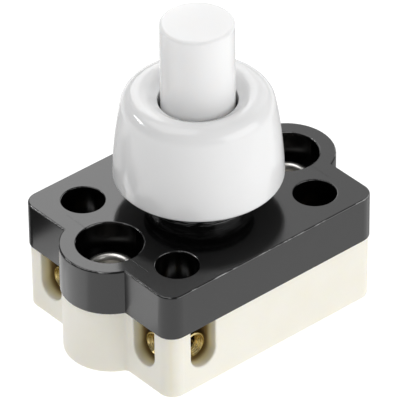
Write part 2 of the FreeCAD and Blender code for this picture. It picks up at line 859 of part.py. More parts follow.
def make_contact_blade(name, side_y, turn):
    """Brass blade from under a terminal to its contact tip under the rotor."""
    body = new_body(name)
    start = (-terminal_x, terminal_y * side_y)
    end = (-blade_tip_x, blade_tip_y * side_y)
    strip = new_sketch(body, "strip", offset=floor_top)
    draw_bar(strip, start, end, size.blade_width)
    pad(body, strip, size.blade_thickness)
    eye = new_sketch(body, "eye", offset=floor_top)
    draw_circle(eye, size.column_radius, *start)
    pad(body, eye, size.blade_thickness)
    tip = new_sketch(body, "tip", offset=floor_top)
    draw_circle(tip, size.blade_width * HALF, *end)
    pad(body, tip, size.blade_thickness)
    hole = new_sketch(body, "pin_hole", offset=blade_top)
    draw_circle(hole, size.spigot_pin_radius, *start)
    pocket(body, hole)
    place(body, turn=turn)
    return body


def make_terminal(name, side_y, has_side_barrel, turn):
    """Brass terminal: a column with a barrel to each wire slot and a screw hole on top."""
    body = new_body(name)
    column = new_sketch(body, "column", offset=blade_top)
    draw_circle(column, size.column_radius)
    pad(body, column, column_top - blade_top)
    pin = new_sketch(body, "pin", offset=blade_top)
    draw_circle(pin, size.spigot_pin_radius)
    pad(body, pin, size.blade_thickness, downward=True)
    arms = [("YZ_Plane", -1, end_barrel_reach)]
    if has_side_barrel:
        arms.append(("XZ_Plane", 1, side_barrel_reach))
    for plane, outward, reach in arms:
        barrel = new_sketch(body, f"barrel_{plane}", plane)
        draw_circle(barrel, barrel_radius, 0, terminal_axis)
        pad(body, barrel, reach, downward=outward < 0)
    round_edges(body, "barrel_edge", size.barrel_edge_round, lambda edge: is_full_circle(edge, barrel_radius))
    for plane, outward, reach in arms:
        wire = new_sketch(body, f"wire_{plane}", plane, reach * outward)
        draw_circle(wire, size.wire_hole_radius, 0, terminal_axis)
        pocket(body, wire, reach + size.wire_hole_overrun, upward=outward < 0)
        cut_funnel(body, plane, reach)
    screw_hole = new_sketch(body, "screw_hole", offset=column_top)
    draw_circle(screw_hole, size.screw_hole_radius)
    pocket(body, screw_hole, column_top - terminal_axis)
    facing = -1 if turn else 1
    place(body, -terminal_x * facing, terminal_y * side_y * facing, turn=turn)
    return body


def cut_funnel(body, plane, reach):
    """A cone at the mouth of a barrel, cut by a groove about the barrel's axis."""
    across = "XZ_Plane" if plane == "YZ_Plane" else "YZ_Plane"
    mouth = barrel_radius - size.funnel_rim
    bottom = size.funnel_depth - reach
    sketch = new_sketch(body, f"funnel_{plane}", across)
    corners = [(-reach, terminal_axis), (-reach, terminal_axis + mouth)]
    corners += [(bottom, terminal_axis + size.wire_hole_radius), (bottom, terminal_axis)]
    draw_outline(sketch, corners)
    feature = body.newObject("PartDesign::Groove", f"{sketch.Name}_turned")
    feature.Profile = sketch
    feature.ReferenceAxis = (sketch, ["Edge4"])
    feature.Angle = FULL_TURN
    return feature


def make_terminal_screw(name, side_x, side_y):
    """Slotted clamp screw in the top of a terminal."""
    body = new_body(name)
    head_bottom = column_top + size.screw_head_gap
    head_top = head_bottom + size.screw_head_height
    tip = terminal_axis + size.wire_hole_radius + size.screw_tip_gap
    shank = new_sketch(body, "shank", offset=tip)
    draw_circle(shank, size.screw_hole_radius - size.screw_thread_clearance)
    pad(body, shank, head_bottom - tip)
    head = new_sketch(body, "head", offset=head_bottom)
    draw_circle(head, size.screw_head_radius)
    pad(body, head, size.screw_head_height)
    round_edges(body, "head_rim", size.screw_head_round, lambda edge: at_height(edge, head_top))
    slot = new_sketch(body, "slot", offset=head_top)
    draw_rectangle(slot, size.screw_head_radius + size.screw_slot_width, size.screw_slot_width * HALF)
    pocket(body, slot, size.screw_slot_depth)
    place(body, terminal_x * side_x, terminal_y * side_y)
    return body


def make_rivet(name, side):
    """Hollow steel rivet: rolled rim in the recess, shank, and a flat foot below."""
    body = new_body(name)
    profile = new_sketch(body, "profile", "XZ_Plane")
    foot_top = size.rivet_foot_lift + size.rivet_foot_thickness
    rim_round = (size.rivet_rim_radius - size.rivet_bore_radius) * HALF
    corners = [(size.rivet_bore_radius, size.rivet_foot_lift), (size.rivet_foot_radius, size.rivet_foot_lift)]
    corners += [(size.rivet_foot_radius, foot_top), (rivet_shank_radius, foot_top)]
    corners += [(rivet_shank_radius, recess_floor), (size.rivet_rim_radius, recess_floor)]
    corners += [(size.rivet_bore_radius, recess_floor)]
    draw_outline(profile, corners, {5: rim_round})
    revolve(body, profile)
    place(body, lobe_place * side)
    return body


def make_return_spring():
    """Steel coil spring between the rotor and the roof of the button's bore."""
    body = new_body("return_spring")
    length = spring_top - rotor_top
    wire = new_sketch(body, "wire", "XZ_Plane")
    draw_circle(wire, size.spring_wire_radius, size.spring_radius, rotor_top)
    helix(body, wire, "AdditiveHelix", length / size.spring_turns, length)
    reach = size.spring_radius + size.spring_wire_radius * TWO_SIDES
    for name, height, upward in (("ground_foot", rotor_top, False), ("ground_top", spring_top, True)):
        end = new_sketch(body, name, offset=height)
        draw_circle(end, reach)
        pocket(body, end, size.spring_wire_radius * TWO_SIDES, upward=upward)
    return body


def build_all():
    """Every sub-part of the switch, in the order in which it is put together."""
    bodies = [make_base_housing()]
    for name_y, side_y, has_side_barrel in (("front", -1, True), ("back", 1, False)):
        bodies.append(make_contact_blade(f"contact_blade_left_{name_y}", side_y, 0))
        bodies.append(make_terminal(f"terminal_left_{name_y}", side_y, has_side_barrel, 0))
    for name_y, side_y, has_side_barrel in (("back", -1, True), ("front", 1, False)):
        bodies.append(make_contact_blade(f"contact_blade_right_{name_y}", side_y, HALF_TURN))
        bodies.append(make_terminal(f"terminal_right_{name_y}", side_y, has_side_barrel, HALF_TURN))
    for name_x, side_x in (("left", -1), ("right", 1)):
        for name_y, side_y in (("front", -1), ("back", 1)):
            bodies.append(make_terminal_screw(f"terminal_screw_{name_x}_{name_y}", side_x, side_y))
    bodies.append(make_ratchet_rotor())
    bodies.append(make_bridge_plate("bridge_plate_back", 0))
    bodies.append(make_bridge_plate("bridge_plate_front", HALF_TURN))
    bodies.append(make_return_spring())
    bodies.append(make_push_button())
    bodies.append(make_cover_plate())
    bodies.append(make_rivet("rivet_left", -1))
    bodies.append(make_rivet("rivet_right", 1))
    bodies.append(make_ring_nut())
    return bodies


def check_model(bodies):
    """Stop if any object failed or any sub-part isn't one valid solid."""
    faults = []
    for item in document.Objects:
        if "Invalid" in item.State or "Error" in item.State:
            faults.append(f"{item.Name} is {item.State}")
    for body in bodies:
        shape = body.Shape
        if shape.isNull() or not shape.isValid():
            faults.append(f"{body.Label} has no valid shape")
        elif len(shape.Solids) != 1:
            faults.append(f"{body.Label} has {len(shape.Solids)} solids")
    if faults:
        raise RuntimeError("; ".join(faults))


def write_parts(bodies):
    """Write each sub-part to a file that has its name."""
    os.makedirs("parts", exist_ok=True)
    for body in bodies:
        body.Shape.exportStep(f"parts/{body.Label}.step")
        print(f"{body.Label}: {body.Shape.Volume:.2f} cubic millimetres")


sub_parts = build_all()
document.recompute()
check_model(sub_parts)
write_parts(sub_parts)
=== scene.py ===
"""Finishes, fine detail and studio for a push-on, push-off lamp switch.

All lengths are in metres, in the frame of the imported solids: X runs through the two end
lobes, Y across the body, and Z up the threaded neck from the underside of the base.
"""

from __future__ import annotations

import json
import logging
import math
from collections.abc import Sequence
from dataclasses import dataclass
from enum import Enum

import bpy
from mathutils import Matrix, Vector

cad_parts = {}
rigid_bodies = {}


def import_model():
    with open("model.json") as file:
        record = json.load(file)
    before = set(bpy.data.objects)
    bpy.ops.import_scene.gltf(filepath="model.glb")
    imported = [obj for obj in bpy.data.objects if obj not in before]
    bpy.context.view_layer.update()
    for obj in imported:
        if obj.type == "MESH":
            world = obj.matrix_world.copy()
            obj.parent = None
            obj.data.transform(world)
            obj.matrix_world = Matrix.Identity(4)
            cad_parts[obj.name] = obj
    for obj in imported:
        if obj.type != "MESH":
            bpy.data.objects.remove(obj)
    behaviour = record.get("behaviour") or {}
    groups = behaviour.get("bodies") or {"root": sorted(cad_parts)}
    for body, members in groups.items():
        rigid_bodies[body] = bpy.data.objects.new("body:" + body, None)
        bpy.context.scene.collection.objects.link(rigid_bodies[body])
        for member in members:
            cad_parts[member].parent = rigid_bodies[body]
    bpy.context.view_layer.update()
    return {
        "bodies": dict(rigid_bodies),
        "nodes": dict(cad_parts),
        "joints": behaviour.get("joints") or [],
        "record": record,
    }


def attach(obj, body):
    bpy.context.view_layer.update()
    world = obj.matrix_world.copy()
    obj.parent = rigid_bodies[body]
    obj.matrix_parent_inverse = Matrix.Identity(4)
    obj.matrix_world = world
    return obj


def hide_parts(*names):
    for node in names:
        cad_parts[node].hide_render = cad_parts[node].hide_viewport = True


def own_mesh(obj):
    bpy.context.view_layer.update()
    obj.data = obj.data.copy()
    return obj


Pair = tuple[float, float]
Triple = tuple[float, float, float]
Colour = Triple
MM = 0.001
PLATE_TOP = 11.3 * MM
RECESS_RADIUS = 3.12 * MM
RIVET_PLACE: Pair = (10.55 * MM, 0.0)
TERMINAL_PLACE: Pair = (8.35 * MM, 6.5 * MM)
NOISE_MIDDLE = 0.5
EVEN: Triple = (1.0, 1.0, 1.0)
report = logging.getLogger("switch")


class Slot(Enum):
    """Finishes of the switch, by the names of the record's material slots."""

    CREAM = "cream_moulding"
    BLACK = "black_moulding"
    WHITE = "white_moulding"
    BUTTON = "white_button"
    NYLON = "natural_nylon"
    BLADE_BRASS = "contact_brass"
    TERMINAL_BRASS = "terminal_brass"
    SCREW_STEEL = "screw_steel"
    RIVET_STEEL = "rivet_steel"
    SPRING_STEEL = "spring_steel"


class Body(Enum):
    """Bodies that the pieces ride on."""

    HOUSING = "housing"
    BUTTON = "push_button"
    ROTOR = "rotor"
    NUT = "ring_nut"


class Level:
    """A number that varies from place to place, held as the output socket of a node."""

    def __init__(self, graph: Graph, socket: bpy.types.NodeSocket) -> None:
        """Wrap a socket.

        Args:
            graph: the graph that the socket's node belongs to.
            socket: the output socket.
        """
        self.graph = graph
        self.socket = socket

    def combine(self, operation: str, first: Level | float, second: Level | float = 0.0) -> Level:
        """Add a Math node.

        Args:
            operation: the node's operation.
            first: the node's first value.
            second: the node's second value.

        Returns:
            The node's result.
        """
        made = self.graph.node("ShaderNodeMath", {"operation": operation}, {0: first, 1: second})
        return Level(self.graph, made.outputs[0])

    def __add__(self, other: Level | float) -> Level:
        """Sum of two values."""
        return self.combine("ADD", self, other)

    def __radd__(self, other: float) -> Level:
        """Sum of a number and this value."""
        return self.combine("ADD", other, self)

    def __sub__(self, other: Level | float) -> Level:
        """This value less another."""
        return self.combine("SUBTRACT", self, other)

    def __rsub__(self, other: float) -> Level:
        """A number less this value."""
        return self.combine("SUBTRACT", other, self)

    def __mul__(self, other: Level | float) -> Level:
        """Product of two values."""
        return self.combine("MULTIPLY", self, other)

    def __rmul__(self, other: float) -> Level:
        """Product of a number and this value."""
        return self.combine("MULTIPLY", other, self)

    def __truediv__(self, other: Level | float) -> Level:
        """This value over another."""
        return self.combine("DIVIDE", self, other)

    def __rtruediv__(self, other: float) -> Level:
        """A number over this value."""
        return self.combine("DIVIDE", other, self)

    def size(self) -> Level:
        """This value without its sign."""
        return self.combine("ABSOLUTE", self)

    def wave(self) -> Level:
        """Sine of this value, in radians."""
        return self.combine("SINE", self)

    def ripples(self, pitch: float) -> Level:
        """Sine that repeats each time this value grows by the pitch."""
        return (self * (math.tau / pitch)).wave()

    def root(self) -> Level:
        """Square root of this value."""
        return self.combine("SQRT", self)

    def slant(self, other: Level) -> Level:
        """Length of the slant over two lengths at right angles."""
        return (self * self + other * other).root()

    def lower(self, other: Level | float) -> Level:
        """The lower of two values."""
        return self.combine("MINIMUM", self, other)

    def higher(self, other: Level | float) -> Level:
        """The higher of two values."""
        return self.combine("MAXIMUM", self, other)

    def rise(self, low: float, high: float, top: float = 1.0) -> Level:
        """A soft step over this value.

        Args:
            low: where the step starts, at 0.
            high: where the step ends.
            top: the step's value at its end.

        Returns:
            The step's value, between 0 and the top.
        """
        settings = {"interpolation_type": "SMOOTHSTEP"}
        sockets = {"Value": self, "From Min": low, "From Max": high, "To Min": 0.0, "To Max": top}
        return Level(self.graph, self.graph.node("ShaderNodeMapRange", settings, sockets).outputs[0])


class Graph:
    """A node tree, and the one place where its nodes are made."""

    def __init__(self, tree: bpy.types.NodeTree) -> None:
        """Start from an empty tree.

        Args:
            tree: the tree to fill.
        """
        self.tree = tree
        tree.nodes.clear()

    def node(self, kind: str, settings: dict | None = None, sockets: dict | None = None) -> bpy.types.Node:
        """Add a node.

        Args:
            kind: the node's type.
            settings: its properties, set first.
            sockets: a value, a socket or a Level for each input, by name or index.

        Returns:
            The new node.
        """
        made = self.tree.nodes.new(kind)
        for name, value in (settings or {}).items():
            setattr(made, name, value)
        for key, value in (sockets or {}).items():
            self.feed(made.inputs[key], value)
        return made

    def feed(self, target: bpy.types.NodeSocket, value: object) -> None:
        """Link a source to an input, or set the input's own value.

        Args:
            target: the input socket.
            value: a Level, a socket, a colour of three numbers, or a plain value.
        """
        if isinstance(value, Level):
            value = value.socket
        if isinstance(value, bpy.types.NodeSocket):
            self.tree.links.new(value, target)
        elif target.type == "RGBA":
            target.default_value = (*value, 1.0)
        else:
            target.default_value = value

    def place(self) -> bpy.types.NodeSocket:
        """Place on the piece, in metres from the frame's origin."""
        return self.node("ShaderNodeTexCoord").outputs["Object"]

    def axes(self) -> tuple[Level, Level, Level]:
        """Split the place on the piece.

        Returns:
            Its x, y and z, in metres.
        """
        made = self.node("ShaderNodeSeparateXYZ", None, {0: self.place()})
        x, y, z = (Level(self, output) for output in made.outputs)
        return x, y, z

    def noise(self, grain: float, octaves: float, stretch: Triple = EVEN) -> Level:
        """Soft noise about 0.5.

        Args:
            grain: size of one grain, in metres.
            octaves: octaves of finer noise.
            stretch: how much longer a grain is along x, y and z.

        Returns:
            The noise's value.
        """
        scale = tuple(1.0 / (grain * length) for length in stretch)
        spot = self.node("ShaderNodeMapping", None, {"Vector": self.place(), "Scale": scale})
        sockets = {"Vector": spot.outputs[0], "Scale": 1.0, "Detail": octaves}
        return Level(self, self.node("ShaderNodeTexNoise", None, sockets).outputs[0])

    def blend(self, share: Level, first: object, second: object) -> bpy.types.NodeSocket:
        """Mix two colours.

        Args:
            share: 0 for the first colour and 1 for the second.
            first: a colour or a colour socket.
            second: a colour or a colour socket.

        Returns:
            The mixed colour.
        """
        settings = {"data_type": "RGBA", "clamp_factor": True}
        sockets = {"Factor": share, "A": first, "B": second}
        return self.node("ShaderNodeMix", settings, sockets).outputs["Result"]

    def bump(self, height: Level, depth: float) -> bpy.types.NodeSocket:
        """Turn a height into a normal.

        Args:
            height: height of the surface, 1 for the whole depth.
            depth: depth of the relief, in metres.

        Returns:
            The normal.
        """
        sockets = {"Height": height, "Distance": depth, "Strength": 1.0}
        return self.node("ShaderNodeBump", None, sockets).outputs[0]

    def input_id(self, name: str, kind: str, default: object = None) -> tuple[str, bpy.types.NodeSocket]:
        """Add a named input to a geometry tree.

        Args:
            name: the input's name.
            kind: the type of its socket.
            default: its value, if it has one.

        Returns:
            The input's identifier, and the socket that carries it inside the tree.
        """
        item = self.tree.interface.new_socket(name=name, in_out="INPUT", socket_type=kind)
        if default is not None:
            item.default_value = default
        inner = self.node("NodeGroupInput")
        return item.identifier, inner.outputs[name]


@dataclass(frozen=True)
class Spots:
    """Scattered spots or streaks: a noise, the step that picks its peaks, and their strength."""

    grain: float
    octaves: float
    step: Pair
    strength: float = 1.0
    stretch: Triple = EVEN

    def cover(self, graph: Graph) -> Level:
        """How strongly the spots cover each place."""
        return graph.noise(self.grain, self.octaves, self.stretch).rise(*self.step, self.strength)


@dataclass(frozen=True)
class Finish:
    """A surface: colour, gloss and relief, each worked out from the place on the piece."""

    slot: Slot
    colour: Colour
    second_colour: Colour
    roughness: float
    roughness_swing: float = 0.06
    smoothest: float = 0.02
    metallic: float = 0.0
    ior: float = 1.5
    grain: float = 0.4 * MM
    octaves: float = 4.0
    relief: float = 0.002 * MM
    batch_grains: float = 12.0
    batch_start: float = 0.35
    batch_contrast: float = 2.2
    patch_grains: float = 6.0
    patch_octaves: float = 5.0

    def constants(self) -> dict[str, object]:
        """Sockets of the shader that are the same all over the surface."""
        return {"IOR": self.ior}

    def tint(self, graph: Graph) -> bpy.types.NodeSocket:
        """Colour of the surface, with the slow change of a batch of material."""
        batch = graph.noise(self.grain * self.batch_grains, self.octaves)
        return graph.blend((batch - self.batch_start) * self.batch_contrast, self.colour, self.second_colour)

    def metal(self, graph: Graph) -> Level | float:
        """Share of plain metal shine."""
        return self.metallic

    def swing(self, noise: Level) -> Level:
        """Change of the roughness with a noise about its middle."""
        return (noise - NOISE_MIDDLE) * (2.0 * self.roughness_swing)

    def gloss(self, graph: Graph) -> Level:
        """Roughness of the surface, with dull patches from handling."""
        patches = graph.noise(self.grain * self.patch_grains, self.patch_octaves)
        return (self.swing(patches) + self.roughness).higher(self.smoothest)

    def height(self, graph: Graph) -> Level:
        """Relief of the surface, from 0 to 1."""
        return graph.noise(self.grain, self.octaves)

    def material(self) -> bpy.types.Material:
        """Build the material.

        Returns:
            The material, under the name of its slot.
        """
        made = bpy.data.materials.new(self.slot.value)
        made.use_nodes = True
        graph = Graph(made.node_tree)
        sockets = self.constants()
        sockets["Metallic"] = self.metal(graph)
        sockets["Base Color"] = self.tint(graph)
        sockets["Roughness"] = self.gloss(graph)
        sockets["Normal"] = graph.bump(self.height(graph), self.relief)
        shader = graph.node("ShaderNodeBsdfPrincipled", None, sockets)
        graph.node("ShaderNodeOutputMaterial", None, {"Surface": shader.outputs[0]})
        return made


@dataclass(frozen=True)
class CloudyMoulding(Finish):
    """A moulding that light sinks into a little."""

    bloom: float = 0.35
    bloom_depth: float = 0.6 * MM
    bloom_colour: Colour = (1.0, 0.85, 0.45)

    def constants(self) -> dict[str, object]:
        """List the sockets of the shader that are the same all over the surface.

        Returns:
            The value of each socket, by its name.
        """
        return {
            **super().constants(),
            "Subsurface Weight": self.bloom,
            "Subsurface Radius": self.bloom_colour,
            "Subsurface Scale": self.bloom_depth,
        }


@dataclass(frozen=True)
class CreamMoulding(CloudyMoulding):
    """Cream thermoset of the base: satin, and warmer inside its slots."""

    slot: Slot = Slot.CREAM
    colour: Colour = (0.885, 0.86, 0.775)
    second_colour: Colour = (0.86, 0.828, 0.72)
    roughness: float = 0.38
    ior: float = 1.48
    relief: float = 0.004 * MM
    inside_colour: Colour = (0.86, 0.78, 0.47)
    # Painted shade deep in the slots, with some tarnish.
    deep_shade_and_tarnish: Colour = (0.32, 0.21, 0.08)
    speck_colour: Colour = (0.7, 0.62, 0.44)
    specks: Spots = Spots(0.25 * MM, 2.0, (0.64, 0.74), 0.1)
    half_length: float = 12.25 * MM
    half_width: float = 10.2 * MM
    wall_depths: Pair = (0.1 * MM, 1.1 * MM)
    deep_shade_depths: Pair = (0.75 * MM, 1.4 * MM)
    foot_heights: Pair = (0.4 * MM, 1.2 * MM)

    def tint(self, graph: Graph) -> bpy.types.NodeSocket:
        """Cream outside, olive yellow on slot walls, and painted shade with some tarnish deep inside.

        Args:
            graph: the material's graph.

        Returns:
            The colour.
        """
        x, y, z = graph.axes()
        inset = (self.half_length - x.size()).lower(self.half_width - y.size())
        inside = inset.rise(*self.wall_depths) * z.rise(*self.foot_heights)
        speckled = graph.blend(self.specks.cover(graph), super().tint(graph), self.speck_colour)
        # The walls turn brown deep inside: painted shade with some tarnish.
        walls = graph.blend(inset.rise(*self.deep_shade_depths), self.inside_colour, self.deep_shade_and_tarnish)
        return graph.blend(inside, speckled, walls)


@dataclass(frozen=True)
class BlackMoulding(Finish):
    """Black phenolic of the cover plate: glossy top, duller flanks, hairline scuffs."""

    slot: Slot = Slot.BLACK
    colour: Colour = (0.0018, 0.0018, 0.0019)
    second_colour: Colour = (0.0035, 0.0035, 0.0036)
    roughness: float = 0.13
    roughness_swing: float = 0.03
    smoothest: float = 0.03
    ior: float = 1.63
    relief: float = 0.01 * MM
    flank_roughness: float = 0.2
    bore_roughness: float = 0.16
    # Metal share in the bores: painted shade that kills the gloss of their walls.
    bore_painted_shade: float = 0.6
    # Pale grey of painted highlights on the top edges (partly rubbing wear) and on thread crests.
    glint_and_wear_colour: Colour = (0.25, 0.25, 0.25)
    plate_top: float = PLATE_TOP
    polish_depth: float = 0.16 * MM
    polish_step: Pair = (0.0, 0.1 * MM)
    edge_start: Pair = (0.01 * MM, 0.03 * MM)
    edge_end: Pair = (0.07 * MM, 0.11 * MM)
    crest_radius: float = 4.95 * MM
    crest_start: Pair = (-0.1 * MM, -0.05 * MM)
    crest_end: Pair = (0.02 * MM, 0.07 * MM)
    neck_foot: Pair = (-0.3 * MM, -0.1 * MM)
    holes: tuple[tuple[Pair, float], ...] = (
        (RIVET_PLACE, RECESS_RADIUS),
        ((8.21 * MM, 6.55 * MM), 2.05 * MM),
    )
    bore_blur: float = 0.02 * MM
    bore_depths: Pair = (0.1 * MM, 0.3 * MM)
    # Spots that break the painted edge highlight, partly rubbing wear, into short lines.
    edge_glint_spots: Spots = Spots(1.7 * MM, 6.0, (0.5, 0.64))
    # Streaks that break the painted thread-crest highlight into fine lines.
    streaks: Spots = Spots(0.07 * MM, 3.0, (0.5, 0.6), stretch=(20.0, 20.0, 1.0))
    scuffs: Spots = Spots(0.14 * MM, 2.0, (0.6, 0.75), 0.04, (1.0, 9.0, 1.0))
    nibs: Spots = Spots(0.2 * MM, 2.0, (0.72, 0.8), 0.12)
    haze_grain: float = 2.2 * MM
    haze_octaves: float = 3.0
    wave_grain: float = 3.2 * MM
    wave_octaves: float = 1.0

    def tint(self, graph: Graph) -> bpy.types.NodeSocket:
        """Black, with pale lines of painted highlight along the top edges and thread crests.

        Args:
            graph: the material's graph.

        Returns:
            The colour.
        """
        x, y, z = graph.axes()
        depth = self.plate_top - z
        edge = depth.rise(*self.edge_start) * (1.0 - depth.rise(*self.edge_end))
        # Painted highlight along the plate's top edges, partly rubbing wear.
        edge_glint = self.edge_glint_spots.cover(graph) * edge
        short = self.crest_radius - x.slant(y)
        crest = short.rise(*self.crest_start) * (1.0 - short.rise(*self.crest_end))
        # Painted highlight on the thread crests.
        crest_glint = crest * (1.0 - depth.rise(*self.neck_foot)) * self.streaks.cover(graph)
        return graph.blend(edge_glint.higher(crest_glint), super().tint(graph), self.glint_and_wear_colour)

    def metal(self, graph: Graph) -> Level:
        """Share of plain metal shine, used here as painted shade that keeps the bores dead black."""
        return self.bores(graph) * self.bore_painted_shade

    def bores(self, graph: Graph) -> Level:
        """Find the walls of the recesses and driver holes.

        Args:
            graph: the material's graph.

        Returns:
            1 on those walls, and 0 elsewhere.
        """
        x, y, z = graph.axes()
        near = []
        for (hole_x, hole_y), radius in self.holes:
            reach = (x.size() - hole_x).slant(y.size() - hole_y)
            near.append(1.0 - reach.rise(radius, radius + self.bore_blur))
        recess, driver_hole = near
        return recess.higher(driver_hole) * (self.plate_top - z).rise(*self.bore_depths)

    def gloss(self, graph: Graph) -> Level:
        """Glossy on the pressed top face, duller down the flanks, and matt in the bores.

        Args:
            graph: the material's graph.

        Returns:
            The roughness.
        """
        z = graph.axes()[2]
        top = (z - (self.plate_top - self.polish_depth)).rise(*self.polish_step)
        face = self.roughness * top + self.flank_roughness * (1.0 - top)
        haze = self.swing(graph.noise(self.haze_grain, self.haze_octaves))
        polished = (face + haze + self.scuffs.cover(graph)).higher(self.smoothest)
        return polished.higher(self.bores(graph) * self.bore_roughness)

    def height(self, graph: Graph) -> Level:
        """Slow waves of a pressed face, with dust nibs."""
        return graph.noise(self.wave_grain, self.wave_octaves) + self.nibs.cover(graph)


@dataclass(frozen=True)
class WhiteMoulding(CloudyMoulding):
    """White thermoplastic of the nut and button: glossy, with a trace of orange peel."""

    slot: Slot = Slot.WHITE
    colour: Colour = (0.905, 0.905, 0.905)
    second_colour: Colour = (0.885, 0.885, 0.885)
    roughness: float = 0.13
    roughness_swing: float = 0.025
    relief: float = 0.006 * MM
    bloom: float = 0.2
    bloom_depth: float = 0.4 * MM
    bloom_colour: Colour = (1.0, 0.95, 0.9)
    wave_grain: float = 3.0 * MM
    wave_octaves: float = 1.0
    peel_octaves: float = 2.0
    peel_share: float = 0.15

    def height(self, graph: Graph) -> Level:
        """Slow waves of a moulded face, with a trace of orange peel."""
        peel = graph.noise(self.grain, self.peel_octaves) * self.peel_share
        return graph.noise(self.wave_grain, self.wave_octaves) + peel


@dataclass(frozen=True)
class ButtonMoulding(WhiteMoulding):
    """White thermoplastic of the push button: softer in its gloss, and lit from deeper down."""

    slot: Slot = Slot.BUTTON
    colour: Colour = (0.91, 0.91, 0.91)
    second_colour: Colour = (0.895, 0.895, 0.895)
    roughness: float = 0.2
    roughness_swing: float = 0.04
    bloom: float = 0.7
    bloom_depth: float = 2.2 * MM


@dataclass(frozen=True)
class NaturalNylon(Finish):
    """Undyed nylon of the rotor."""

    slot: Slot = Slot.NYLON
    colour: Colour = (0.78, 0.76, 0.68)
    second_colour: Colour = (0.7, 0.67, 0.57)
    roughness: float = 0.45
    relief: float = 0.006 * MM


@dataclass(frozen=True)
class Metal(Finish):
    """Bare or plated metal."""

    roughness_swing: float = 0.08
    metallic: float = 1.0
    grain: float = 0.2 * MM


@dataclass(frozen=True)
class TurnedBrass(Metal):
    """Brass of the terminals: lathe rings, with painted shade in the holes and round the barrels."""

    slot: Slot = Slot.TERMINAL_BRASS
    colour: Colour = (0.8, 0.66, 0.33)
    second_colour: Colour = (0.68, 0.54, 0.24)
    roughness: float = 0.2
    relief: float = 0.006 * MM
    # Dark brown of real stains and of painted shade.
    tarnish_and_shade: Colour = (0.15, 0.1, 0.035)
    stains: Spots = Spots(0.5 * MM, 4.0, (0.5, 0.75), 0.5)
    # Share of painted shade on the barrel's outside.
    outside_painted_shade: float = 0.75
    place: Pair = TERMINAL_PLACE
    axis_height: float = 3.65 * MM
    barrel_radius: float = 1.29 * MM
    rim_width: float = 0.06 * MM
    hole_step: Pair = (0.62 * MM, 0.8 * MM)
    ring_pitch: float = 0.16 * MM
    ring_share: float = 0.5
    grit_grain: float = 0.12 * MM
    grit_octaves: float = 3.0
    grit_share: float = 0.4

    def reach(self, graph: Graph) -> Level:
        """Measure the distance from the nearest barrel's axis.

        Args:
            graph: the material's graph.

        Returns:
            The distance, in metres.
        """
        x, y, z = graph.axes()
        terminal_x, terminal_y = self.place
        rise = z - self.axis_height
        from_end = (y.size() - terminal_y).slant(rise)
        from_side = (x.size() - terminal_x).slant(rise)
        return from_end.lower(from_side)

    def tint(self, graph: Graph) -> bpy.types.NodeSocket:
        """Bright on the barrel's rim, with painted shade down its hole and on its outside, and stains.

        Args:
            graph: the material's graph.

        Returns:
            The colour.
        """
        reach = self.reach(graph)
        # Painted shade down the wire hole.
        deep = 1.0 - reach.rise(*self.hole_step)
        # Painted shade on the barrel's outside and in the gap round it.
        gap_shade = reach.rise(self.barrel_radius - self.rim_width, self.barrel_radius)
        share = deep.higher(gap_shade * self.outside_painted_shade).higher(self.stains.cover(graph))
        return graph.blend(share, super().tint(graph), self.tarnish_and_shade)

    def height(self, graph: Graph) -> Level:
        """Rings left by the turning tool about each barrel's axis."""
        rings = self.reach(graph).ripples(self.ring_pitch) * self.ring_share + self.ring_share
        return rings + graph.noise(self.grit_grain, self.grit_octaves) * self.grit_share


@dataclass(frozen=True)
class RolledStrip(Metal):
    """Brass strip of the blades and bridge plates, with lines from the rolling mill."""

    slot: Slot = Slot.BLADE_BRASS
    colour: Colour = (0.8, 0.66, 0.33)
    second_colour: Colour = (0.66, 0.52, 0.24)
    roughness: float = 0.26
    grain: float = 0.3 * MM
    line_grain: float = 0.05 * MM
    line_octaves: float = 2.0
    line_stretch: Triple = (18.0, 1.0, 1.0)

    def height(self, graph: Graph) -> Level:
        """Fine lines along the strip."""
        return graph.noise(self.line_grain, self.line_octaves, self.line_stretch)


@dataclass(frozen=True)
class PlatedSteel(Metal):
    """Plated steel of the screws, polished in rings about an upright axis."""

    slot: Slot = Slot.SCREW_STEEL
    colour: Colour = (0.6, 0.6, 0.58)
    second_colour: Colour = (0.5, 0.49, 0.46)
    roughness: float = 0.3
    centre: Pair = TERMINAL_PLACE
    ring_pitch: float = 0.09 * MM
    ring_share: float = 0.3

    def height(self, graph: Graph) -> Level:
        """Polishing rings, and a trace of wear.

        Args:
            graph: the material's graph.

        Returns:
            The height.
        """
        x, y, _ = graph.axes()
        centre_x, centre_y = self.centre
        reach = (x.size() - centre_x).slant(y.size() - centre_y)
        return reach.ripples(self.ring_pitch) * self.ring_share + graph.noise(self.grain, self.octaves)


@dataclass(frozen=True)
class RivetSteel(PlatedSteel):
    """Bright plated steel of the hollow rivets."""

    slot: Slot = Slot.RIVET_STEEL
    colour: Colour = (0.78, 0.77, 0.75)
    second_colour: Colour = (0.62, 0.6, 0.56)
    roughness: float = 0.32
    grain: float = 0.25 * MM
    centre: Pair = RIVET_PLACE


@dataclass(frozen=True)
class DrawnWire(Metal):
    """Spring wire with faint drawing lines."""

    slot: Slot = Slot.SPRING_STEEL
    colour: Colour = (0.42, 0.42, 0.42)
    second_colour: Colour = (0.3, 0.29, 0.28)
    roughness: float = 0.3
    line_pitch: float = 0.07 * MM
    line_share: float = 0.3
    wear_octaves: float = 3.0

    def height(self, graph: Graph) -> Level:
        """Lines along the coils."""
        lines = graph.axes()[2].ripples(self.line_pitch) * self.line_share
        return lines + graph.noise(self.grain, self.wear_octaves)


class Finishes:
    """Every finish of the switch, built once."""

    def __init__(self) -> None:
        """Build the materials."""
        listed = (
            CreamMoulding(),
            BlackMoulding(),
            WhiteMoulding(),
            ButtonMoulding(),
            NaturalNylon(),
            RolledStrip(),
            TurnedBrass(),
            PlatedSteel(),
            RivetSteel(),
            DrawnWire(),
        )
        self.made = {finish.slot: finish.material() for finish in listed}

    def dress(self, piece: bpy.types.Object, slot: Slot) -> None:
        """Give a piece its finish.

        Args:
            piece: a piece or a node of the frame.
            slot: the finish.
        """
        piece.data.materials.clear()
        piece.data.materials.append(self.made[slot])


